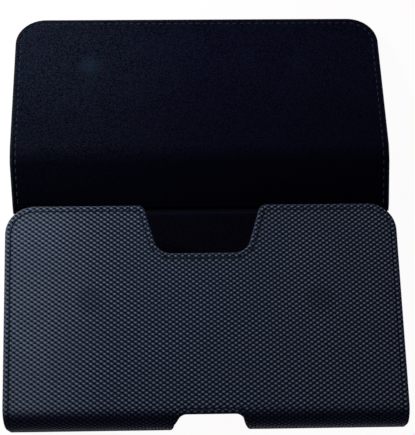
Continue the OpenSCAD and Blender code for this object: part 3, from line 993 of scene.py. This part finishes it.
def cover_finish(magnets):
    made = Finish("embossed_leather_cloth", Specular_IOR_Level=0.03)
    where = made.lasting("flat")
    x, y, z = made.split(where)
    depth = made.times(z, -1.0)
    sway = made.times(made.math("SUBTRACT", made.noise(where, 0.5), 0.5), 0.7)
    rows, ranks = (
        made.plus(made.times(made.plus(part, depth), 2 * math.pi / pitch), sway)
        for part, pitch in ((x, BEAD_ACROSS), (y, BEAD_ALONG))
    )
    waves = [made.math("COSINE", made.math(way, rows, ranks)) for way in ("ADD", "SUBTRACT")]
    # The slant changes from the left end to the right as painted shading of the weave's hills under the lamp
    # at the left
    lean = made.level(x, -60, 45, BEAD_SLANT / 2, -BEAD_SLANT / 4)
    field = made.plus(made.times(made.plus(*waves), 0.5), made.times(made.math("SUBTRACT", *waves), lean))
    on_face = made.level(depth, 0.1, 0.7, 1.0, 0.3)
    bead = made.times(made.level(field, 0.1, 0.8), on_face)
    pit = made.level(field, -0.75, 0.05)
    grain = made.noise(where, 4.0, 3.0)
    broad = made.noise(where, 0.06, 2.0)
    # Slopes painted lighter and greyer towards the left end: painted light from the lamp at that end
    slope = made.blend(made.level(x, -80, -35, 0.5, 0.0), shade(29, 36, 51), shade(78, 89, 104))
    # Bead tops lighter than the slopes, partly a painted highlight for the lamp's glint, lighter still
    # towards the right end
    crown = made.blend(made.level(x, 0, 70), shade(100, 106, 124), shade(112, 113, 132))
    colour = made.blend(pit, shade(0, 4, 13), slope)
    colour = made.blend(bead, colour, crown)
    colour = made.blend(made.level(broad, 0.35, 0.65, 0.0, 0.12), colour, shade(24, 30, 44))
    # The rim is painted an even grey: partly the flattened pattern's mean tone, partly a painted highlight
    # where the edge catches the lamp
    colour = made.blend(made.level(depth, 0.02, 0.3, 0.0, 0.6), colour, shade(44, 50, 62))
    colour = made.blend(made.level(depth, 0.9, 1.8, 0.0, 0.85), colour, shade(6, 8, 14))
    # The bottom of the pressed seam is painted darker: painted shade in the groove
    seam = made.node("Attribute", attribute_name="seam").outputs["Fac"]
    colour = made.blend(made.times(seam, 0.8), colour, shade(3, 4, 9))
    # The bottom fold is painted dark blue: painted shade where the fold turns away from the lamp, with the
    # stretched embossing
    in_fold = made.between(y, back_start + FOLD_SOFT, -5, FOLD_SOFT)
    colour = made.blend(made.times(in_fold, 0.85), colour, shade(12, 13, 35))
    spots = round_spots(made, where, magnets, 3.5, 7.0)
    colour = made.blend(made.times(spots, 0.25), colour, shade(12, 15, 24))
    rough = made.level(made.plus(bead, made.times(grain, 0.3)), 0.1, 1.1, 0.85, 0.36)
    height = made.plus(made.plus(bead, made.times(pit, 0.5)), made.times(grain, 0.18))
    return made.finish(colour, rough, made.bump(height, 0.16, made.bump(spots, 0.12)))


# %% [markdown]
# ## Velour
# The lining is a short dark blue pile. Its colour shifts where the nap lies another way, so a broad noise
# is mixed with a fine one. From the flap's left end to its right the colour is painted from a grey blue to a
# deeper one, as painted shade falling off away from the lamp at the left. The pouch's lining is painted much
# darker than the flap's, as painted shade inside the pocket. On the flap the colour is painted darker towards
# the crease, as painted shade, with a darker line at the crease that is partly crushed pile and partly
# painted shade; on the strip it is painted dark all the way down, as painted shade on a face turned away from
# the lamp. On the pouch the ridge at the back crease is painted lighter, as a painted highlight where the
# ridge catches the lamp. The magnets under the flap's lining press up a soft round, with a painted highlight
# on its lit side that is strongest on the left, nearest the lamp.

# %% Lining
# The painted highlight on the ridge of the pouch's lining lies this far before the back crease and fades out
# to both sides
RIDGE_LIGHT_IN, RIDGE_LIGHT_SOFT = 1.5, 0.9


def lining_finish(name, low, high, magnets, crease=None):
    made = Finish(name, Roughness=0.95, Specular_IOR_Level=0.022, Sheen_Weight=0.02,
                  Sheen_Roughness=0.45, Sheen_Tint=(0.35, 0.45, 0.8, 1))
    where = made.lasting("flat")
    x, y, _ = made.split(where)
    pile = made.noise(where, 1.5, 3.0, 0.7)
    nap = made.noise(where, 0.06, 3.0, 0.6)
    tuft = made.noise(where, 0.4, 2.0)
    warm = tuple(c * f for c, f in zip(high, (1.5, 0.8, 1.0)))
    fleck = made.blend(made.level(tuft, 0.4, 0.6), high, warm)
    if crease is not None:
        # Painted shade: the flap's colour darkens from its left end to its right, away from the lamp
        deep = tuple(c * f for c, f in zip(high, (0.76, 0.46, 0.81)))
        fleck = made.blend(made.level(x, -60, 10), fleck, deep)
    colour = made.blend(made.level(pile, 0.4, 0.6), low, fleck)
    colour = made.blend(made.level(nap, 0.35, 0.7, 0.0, 0.2), colour, fleck)
    spots = round_spots(made, where, magnets, 0.5, 8.0)
    # Painted highlight on the lit side of each magnet's round, strongest at the left, nearest the lamp
    bulge_highlight = made.times(spots, made.level(x, -50, 50, 0.55, 0.1))
    colour = made.blend(bulge_highlight, colour, tuple(1.6 * c for c in high))
    if crease is not None:
        # Painted shade: darker towards the flap's crease, a darker line at the crease that is partly crushed
        # pile, and dark all down the strip, which faces away from the lamp
        for start, end, share in ((-60, -1.3, 0.5), (-1.3, 1.0, 0.6), (2, strip_len, 0.9)):
            painted_shade = made.level(y, crease + start, crease + end, 0.0, share)
            colour = made.blend(painted_shade, colour, low)
    else:
        # Painted highlight along the ridge at the back crease, where it catches the lamp
        ridge_highlight = made.between(y, back_crease + RIDGE_LIGHT_IN, back_crease + RIDGE_LIGHT_IN, RIDGE_LIGHT_SOFT)
        colour = made.blend(made.times(ridge_highlight, 0.6), colour, shade(17, 19, 34))
    height = made.plus(pile, made.times(tuft, 0.6))
    return made.finish(colour, None, made.bump(height, 0.14, made.bump(spots, 0.3)))


# %% [markdown]
# ## Thread, plain leathers and metals
# Bonded thread is a tight twist, drawn as slanted bands along each stitch. The gussets, straps and patch are
# a smooth leather with a pebbled grain, which is a cell pattern at two sizes. The clip is blackened spring
# steel and the rivets are nickelled, with fine scratches and a duller film in places.

# %% Thread
TWIST = 0.55


def thread_finish(name, dark, light):
    made = Finish(name, Roughness=0.75, Sheen_Weight=0.05, Specular_IOR_Level=0.05)
    x, y, _ = made.split(made.lasting("thread"))
    twist = made.math("SINE", made.times(made.plus(x, y), 2 * math.pi / TWIST))
    colour = made.blend(made.level(twist, -0.8, 0.8), dark, light)
    return made.finish(colour, None, made.bump(twist, 0.05))


# %% Leather of the gussets, straps and patch
def leather_finish(name, dark, light, grain_size):
    made = Finish(name, Specular_IOR_Level=0.2)
    where = made.place()
    cells = [made.node("TexVoronoi", Scale=size) for size in (1 / grain_size, 2.3 / grain_size)]
    for cell in cells:
        made.join(where, cell.inputs["Vector"])
    coarse, fine = (cell.outputs["Distance"] for cell in cells)
    grain = made.plus(coarse, made.times(fine, 0.4))
    broad = made.noise(where, 0.08, 3.0)
    colour = made.blend(made.level(grain, 0.2, 1.0), light, dark)
    colour = made.blend(made.level(broad, 0.4, 0.7, 0.0, 0.4), colour, light)
    rough = made.level(grain, 0.2, 1.0, 0.42, 0.62)
    return made.finish(colour, rough, made.bump(made.times(grain, -1.0), 0.12))


# %% Metals
def metal_finish(name, dark, light, rough_low, rough_high):
    made = Finish(name, Metallic=1.0)
    where = made.place()
    film = made.noise(where, 0.6, 4.0, 0.6)
    drawn = made.node("Mapping")
    drawn.inputs["Scale"].default_value = (9.0, 0.35, 9.0)
    made.join(where, drawn.inputs["Vector"])
    scratch = made.noise(drawn.outputs[0], 1.0, 2.0)
    colour = made.blend(made.level(film, 0.35, 0.7), dark, light)
    rough = made.level(made.plus(film, scratch), 0.7, 1.3, rough_low, rough_high)
    return made.finish(colour, rough, made.bump(scratch, 0.01))


# %% Fibreboard
def board_finish():
    made = Finish("fibreboard", Roughness=0.9)
    where = made.place()
    fibre = made.noise(where, 1.6, 5.0, 0.7)
    colour = made.blend(made.level(fibre, 0.3, 0.7), shade(96, 90, 80), shade(134, 127, 114))
    return made.finish(colour, None, made.bump(fibre, 0.08))


# %% Each piece gets its finish
def dress(obj, material):
    obj.data.materials.clear()
    obj.data.materials.append(material)


# The painted highlight on each magnet's round lies a little to the left of the magnet's middle and nearer to
# the crease
MARK_LEFT, MARK_LOW = 1.2, 1.8
flap_crease = back_crease - strip_len
front_magnets, flap_magnets = [], []
for side in ("left", "right"):
    x, y, _ = sum(box_of("front_magnet_" + side)) / 2
    front_magnets.append((x, y - fold_y - FOLD_R))
    x, y, z = sum(box_of("flap_magnet_" + side)) / 2
    flap_magnets.append((x - MARK_LEFT, flap_crease - math.dist((y, z), flap_axis[1:]) + MARK_LOW))

cover_cloth = cover_finish(front_magnets)
velour = lining_finish("velour_of_flap", shade(0, 0, 5), shade(18, 27, 37), flap_magnets, flap_crease)
# The pouch's lining gets a much darker colour: painted shade inside the pocket
shaded_velour = lining_finish("velour_of_pouch", shade(0, 0, 2), shade(5, 5, 14), front_magnets)
dark_thread = thread_finish("dark_thread", shade(3, 4, 8), shade(14, 16, 25))
blue_thread = thread_finish("blue_grey_thread", shade(11, 15, 26), shade(36, 46, 64))
soft_leather = leather_finish("gusset_leather", shade(16, 18, 24), shade(36, 40, 50), 0.7)
strap_leather = leather_finish("strap_leather", shade(17, 19, 26), shade(40, 44, 55), 1.1)
black_steel = metal_finish("blackened_spring_steel", shade(40, 42, 46), shade(50, 52, 57), 0.34, 0.5)
nickel = metal_finish("nickel_plate", shade(150, 150, 148), shade(188, 188, 186), 0.2, 0.42)
fibreboard = board_finish()

for piece in (pouch_cover, leaf_cover):
    dress(piece, cover_cloth)
dress(pouch_lining, shaded_velour)
dress(leaf_lining, velour)
for piece in gussets:
    dress(piece, soft_leather)
for piece, thread in straps:
    dress(piece, strap_leather)
    dress(thread, dark_thread)
dress(patch, strap_leather)
dress(patch_thread, dark_thread)
for piece in (pouch_thread, flap_thread):
    dress(piece, dark_thread)
for piece in (pouch_thread_inside, flap_thread_inside):
    dress(piece, blue_thread)
hard_finishes = {"board": fibreboard, "magnet": nickel, "belt_clip": black_steel, "rivets": nickel}
for name, node in frame["nodes"].items():
    for word, material in hard_finishes.items():
        if word in name:
            node.data.materials.clear()
            node.data.materials.append(material)

# %% [markdown]
# ## How the pieces move
# The pouch's own pieces ride on the pouch. The two covers, the two linings and their threads each cross one
# crease; here each of them only has its placing baked into its mesh.


def across_back(piece):
    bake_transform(piece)


def across_flap(piece, reach):
    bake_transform(piece)


for piece in (pouch_cover, pouch_thread):
    across_back(piece)
across_back(pouch_lining)
across_back(pouch_thread_inside)
for piece, reach in leaf_bends:
    across_flap(piece, reach)

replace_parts(pouch_cover, "pouch_cover")
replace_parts(leaf_cover, "strip_cover", "flap_cover")
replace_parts(pouch_lining, "pouch_lining")
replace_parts(leaf_lining, "strip_lining", "flap_lining")
for piece, side in zip(gussets, ("left", "right")):
    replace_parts(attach(piece, "pouch"), "gusset_" + side)
for (piece, thread), side in zip(straps, ("left", "right")):
    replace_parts(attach(piece, "pouch"), "belt_loop_" + side)
    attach(thread, "pouch")
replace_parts(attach(patch, "pouch"), "clip_patch")
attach(patch_thread, "pouch")

# %% [markdown]
# ## What was cut flat
# Covers, linings, gussets, straps and the patch are all cut from flat leather or cloth and then folded or
# laid in place. The size of a cut comes from where its points lay before the folding; it is worked out for
# the covers, the linings, the straps and the patch, and printed for the two covers, one strap and the patch.
# A gusset's points were kept as a share of its length, so its size isn't worked out here.

# %% Flat sizes
def flat_size(piece):
    spots = np.empty(len(piece.data.vertices) * 3)
    piece.data.attributes["flat"].data.foreach_get("vector", spots)
    return tuple(float(size) for size in np.ptp(spots.reshape(-1, 3)[:, :2], axis=0) * MM)


pouch_boards, leaf_boards = ["front_board", "back_board"], ["strip_board", "flap_board"]
for cover, lining, boards, area, threads in (
    (pouch_cover, pouch_lining, pouch_boards, pouch_area, (pouch_thread, pouch_thread_inside)),
    (leaf_cover, leaf_lining, leaf_boards, leaf_area, (flap_thread, flap_thread_inside)),
):
    flat_size(cover)
    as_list(boards)
    flat_size(lining)
    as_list(boards)
for piece, thread in straps:
    flat_size(piece)
flat_size(patch)
for piece in (pouch_cover, leaf_cover, straps[0][0], patch):
    print(piece.name, "cut to", [round(size / MM, 1) for size in flat_size(piece)], "mm")

# %% [markdown]
# ## Floor, light and camera
# The case lies on a white table. The floor is white to the camera and in every reflection, whatever the lamp
# does, and keeps a faint shadow of the case. One soft lamp stands at the far left, where a window would be,
# and a weak white sky fills the rest. The camera looks down from the near side, as the photographer did.

# %% Floor
# The floor's share of glow where it is seen, and the sky's strength as it lights and as it is seen
FLOOR_GLOW = 0.95
SKY_LIGHT, SKY_SEEN = 0.08, 1.0


def background_rays(tree):
    """One for a ray that shows the background, straight or by reflection, and nothing for one that lights."""
    path = tree.nodes.new("ShaderNodeLightPath")
    total = path.outputs["Is Camera Ray"]
    for kind in ("Is Glossy Ray", "Is Transmission Ray"):
        added = tree.nodes.new("ShaderNodeMath")
        tree.links.new(total, added.inputs[0])
        tree.links.new(path.outputs[kind], added.inputs[1])
        total = added.outputs[0]
    return total


bpy.ops.object.select_all(action="DESELECT")
bpy.ops.mesh.primitive_plane_add(size=6, location=(0, 0, -0.0002))
floor = bpy.context.object
floor.name = "floor"
white = Finish("white_table", Base_Color=(0.8, 0.8, 0.8, 1), Roughness=0.8)
glow = white.node("Emission", Color=(1, 0.985, 0.99, 1), Strength=1.02)
mixed = white.node("MixShader")
white.join(white.times(background_rays(white.tree), FLOOR_GLOW), mixed.inputs[0])
white.join(white.shader.outputs[0], mixed.inputs[1])
white.join(glow.outputs[0], mixed.inputs[2])
white.join(mixed.outputs[0], white.tree.nodes["Material Output"].inputs["Surface"])
floor.data.materials.append(white.material)

# %% Sky and lamp
# Colours of the sky and the lamp are a little blue, as the light of a window is
world = bpy.data.worlds.new("studio")
bpy.context.scene.world = world
world.use_nodes = True
sky = world.node_tree.nodes["Background"]
sky.inputs["Color"].default_value = (0.93, 0.96, 1.0, 1)
to_strength = world.node_tree.nodes.new("ShaderNodeMapRange")
to_strength.inputs["To Min"].default_value = SKY_LIGHT
to_strength.inputs["To Max"].default_value = SKY_SEEN
world.node_tree.links.new(background_rays(world.node_tree), to_strength.inputs["Value"])
world.node_tree.links.new(to_strength.outputs["Result"], sky.inputs["Strength"])


def lamp(name, place, aim, size, power, colour, spread):
    light = bpy.data.lights.new(name, "AREA")
    light.shape, light.size, light.energy, light.color = "SQUARE", size, power, colour
    light.spread = math.radians(spread)
    obj = bpy.data.objects.new(name, light)
    bpy.context.collection.objects.link(obj)
    obj.location = place
    obj.rotation_euler = (Vector(aim) - Vector(place)).to_track_quat("-Z", "Y").to_euler()


lamp("window", (-0.30, 0.20, 0.25), (-0.10, 0.03, 0.0), 0.12, 0.78, (0.93, 0.97, 1.0), 90)

# %% Camera
PHOTO_LONG_SIDE = 435
FOCAL_PIXELS = 1388
camera_data = bpy.data.cameras.new("camera")
camera_data.sensor_width = 36
camera_data.lens = FOCAL_PIXELS * camera_data.sensor_width / PHOTO_LONG_SIDE
camera = bpy.data.objects.new("camera", camera_data)
bpy.context.collection.objects.link(camera)
camera.location = (-0.0166, -0.1722, 0.5738)
camera.rotation_euler = [math.radians(a) for a in (16.79, -1.65, -1.07)]
bpy.context.scene.camera = camera
bpy.context.scene.view_settings.view_transform = "Standard"
